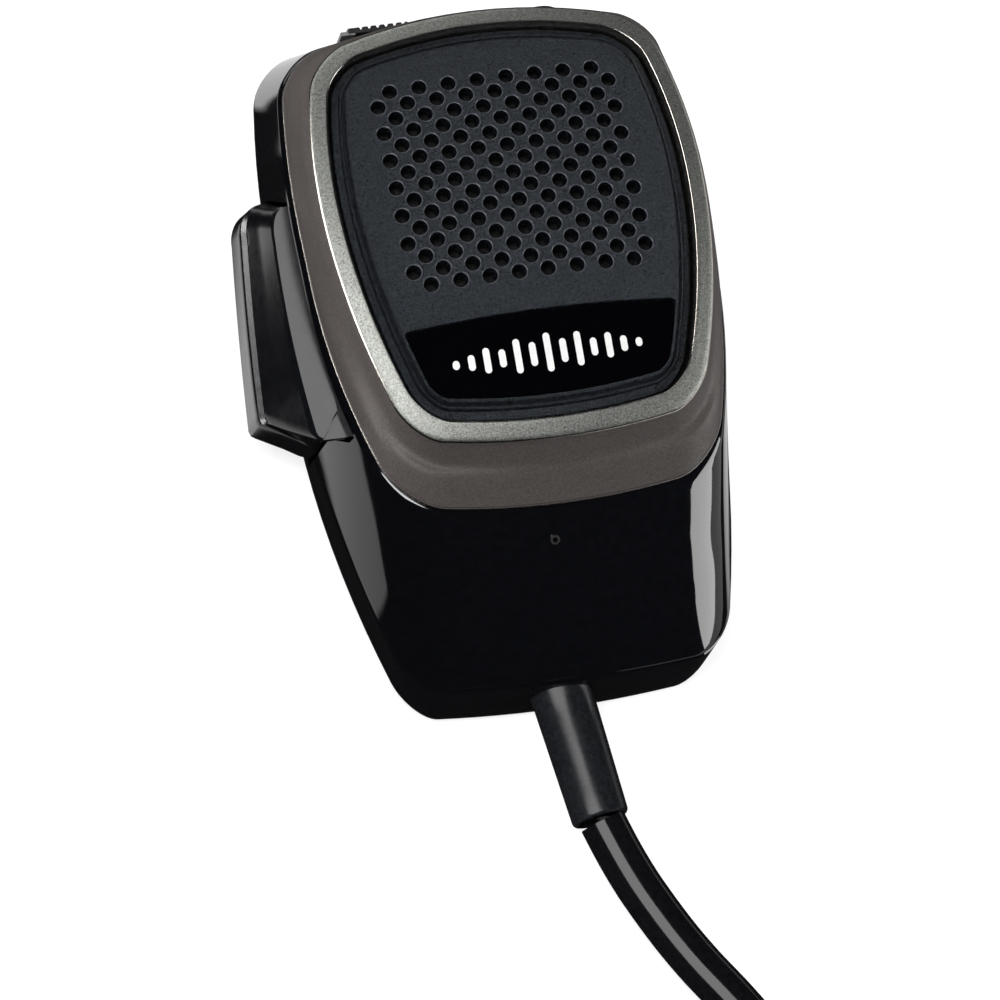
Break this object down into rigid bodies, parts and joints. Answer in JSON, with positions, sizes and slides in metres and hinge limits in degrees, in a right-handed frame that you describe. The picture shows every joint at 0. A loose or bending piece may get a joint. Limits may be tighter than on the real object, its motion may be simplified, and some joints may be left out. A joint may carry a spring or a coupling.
{
  "type": "hand microphone",
  "caption": "Hand microphone for a two-way radio: domed perforated grille in a metallic bezel, sprung talk bar, step buttons, slide switch and a curly cord with a screw-on plug.",
  "frame": {"origin": "centre of the hang button's flat head, on the table under the middle of the sound holes", "axes": "+Y towards the microphone's top end, +Z out of the grille, +X to the right when looking at the grille, away from the talk bar"},
  "size_m": [0.0678, 0.2782, 0.0395],
  "materials": {
    "gloss_black": "glossy moulded black",
    "bar_black": "satin moulded black",
    "taupe_paint": "fine metallic taupe with a lighter rim",
    "grille_black": "fine grain blue-black",
    "plate_black": "polished black with a white bar mark",
    "felt": "acoustic felt",
    "satin_metal": "satin",
    "screw_metal": "bright zinc",
    "soft_black": "soft black",
    "switch_black": "matte",
    "plunger_red": "moulded",
    "board_green": "solder mask",
    "can_blue": "sleeve",
    "trimmer_blue": "moulded",
    "header_cream": "moulded",
    "cord_black": "smooth soft jacket",
    "tie_black": "woven strap",
    "plug_metal": "nickel plated",
    "insert_brown": "moulded",
    "contact_metal": "plated"
  },
  "bodies": {
    "case": {"front_shell": "gloss_black", "rear_shell": "gloss_black", "bezel": "taupe_paint", "grille_panel": "grille_black", "grille_felt": "felt", "name_plate": "plate_black", "port_ring": "satin_metal", "mic_capsule": "satin_metal", "capsule_boot": "soft_black", "talk_pin": "satin_metal", "talk_spring": "screw_metal", "talk_switch": "switch_black", "circuit_board": "board_green", "capacitors": "can_blue", "trimmer": "trimmer_blue", "wire_header": "header_cream", "slide_switch": "satin_metal", "tact_switches": "switch_black", "hang_button": "satin_metal", "hang_screw": "screw_metal", "case_screws": "screw_metal", "board_screws": "screw_metal", "bezel_screws": "screw_metal", "strain_relief": "soft_black", "cord_inner": "cord_black", "cord_clamp": "satin_metal", "clamp_screws": "screw_metal", "cord_lead": "cord_black", "cord_curl": "cord_black", "cord_tail": "cord_black", "cord_tie": "tie_black", "plug_body": "plug_metal", "plug_insert": "insert_brown", "plug_contacts": "contact_metal", "plug_relief": "soft_black", "plug_screw": "screw_metal"},
    "talk_bar": {"talk_bar": "bar_black"},
    "talk_plunger": {"talk_plunger": "plunger_red"},
    "up_button": {"up_button": "switch_black", "up_stem": "satin_metal"},
    "down_button": {"down_button": "switch_black", "down_stem": "satin_metal"},
    "slide_knob": {"slide_knob": "switch_black"},
    "plug_ring": {"plug_ring": "plug_metal"}
  },
  "joints": [
    {"name": "talk_hinge", "type": "hinge", "parent": "case", "child": "talk_bar", "pos_m": [-0.0263, 0.0016, 0.0166], "axis": [0, 0, 1], "range_deg": [0, 3.5], "stiffness_Nm_per_rad": 0.5, "springref_deg": -6.88, "deforming": ["talk_spring"]},
    {"name": "talk_press", "type": "slide", "parent": "case", "child": "talk_plunger", "axis": [1, 0, 0], "range_m": [0, 0.0009]},
    {"name": "up_press", "type": "slide", "parent": "case", "child": "up_button", "axis": [0, -1, 0], "range_m": [0, 0.0005], "stiffness_N_per_m": 800, "springref_m": -0.0006},
    {"name": "down_press", "type": "slide", "parent": "case", "child": "down_button", "axis": [0, -1, 0], "range_m": [0, 0.0005], "stiffness_N_per_m": 800, "springref_m": -0.0006},
    {"name": "lock_slide", "type": "slide", "parent": "case", "child": "slide_knob", "axis": [1, 0, 0], "range_m": [-0.0024, 0]},
    {"name": "ring_turn", "type": "hinge", "parent": "case", "child": "plug_ring", "pos_m": [-0.027, -0.235, 0.0095], "axis": [0, 1, 0], "continuous": true}
  ],
  "couplings": [
    {"joint": "talk_press", "follows": "talk_hinge", "m_per_rad": 0.0136}
  ]
}
